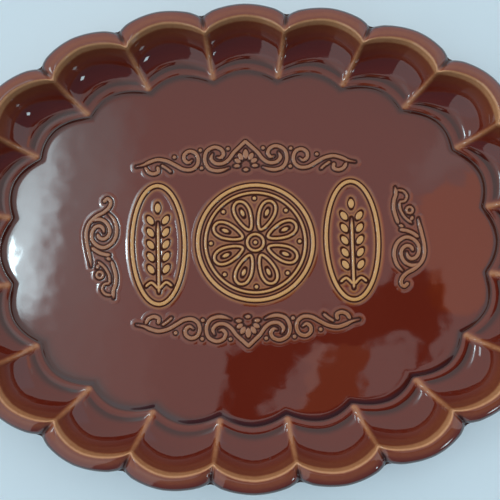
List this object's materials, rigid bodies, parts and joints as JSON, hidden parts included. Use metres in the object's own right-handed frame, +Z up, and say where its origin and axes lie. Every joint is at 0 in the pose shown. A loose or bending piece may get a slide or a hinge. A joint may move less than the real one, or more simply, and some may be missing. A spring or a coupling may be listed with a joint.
{
  "type": "tray",
  "caption": "Oval fluted ceramic serving tray with a scalloped rim, a foot ring and scrollwork in low relief on the flat floor of its well.",
  "frame": {"origin": "middle of the tray, on the plane that its foot ring stands on", "axes": "+X along the tray's length, +Y across it towards the upper scroll, +Z up out of the well"},
  "size_m": [0.362, 0.28, 0.035],
  "materials": {
    "brown_glaze": "glossy red-brown glaze that thins to amber on ridges and edges",
    "amber_glaze": "the same glossy glaze, thin and amber over raised scrollwork, dark in the grooves",
    "golden_glaze": "the same glossy glaze, thin and golden over the raised bands of the middle motifs"
  },
  "bodies": {
    "root": {"tray_body": "brown_glaze", "upper_scroll": "amber_glaze", "lower_scroll": "amber_glaze", "left_scroll": "amber_glaze", "right_scroll": "amber_glaze", "centre_medallion": "golden_glaze", "left_cartouche": "golden_glaze", "right_cartouche": "golden_glaze"}
  },
  "joints": []
}
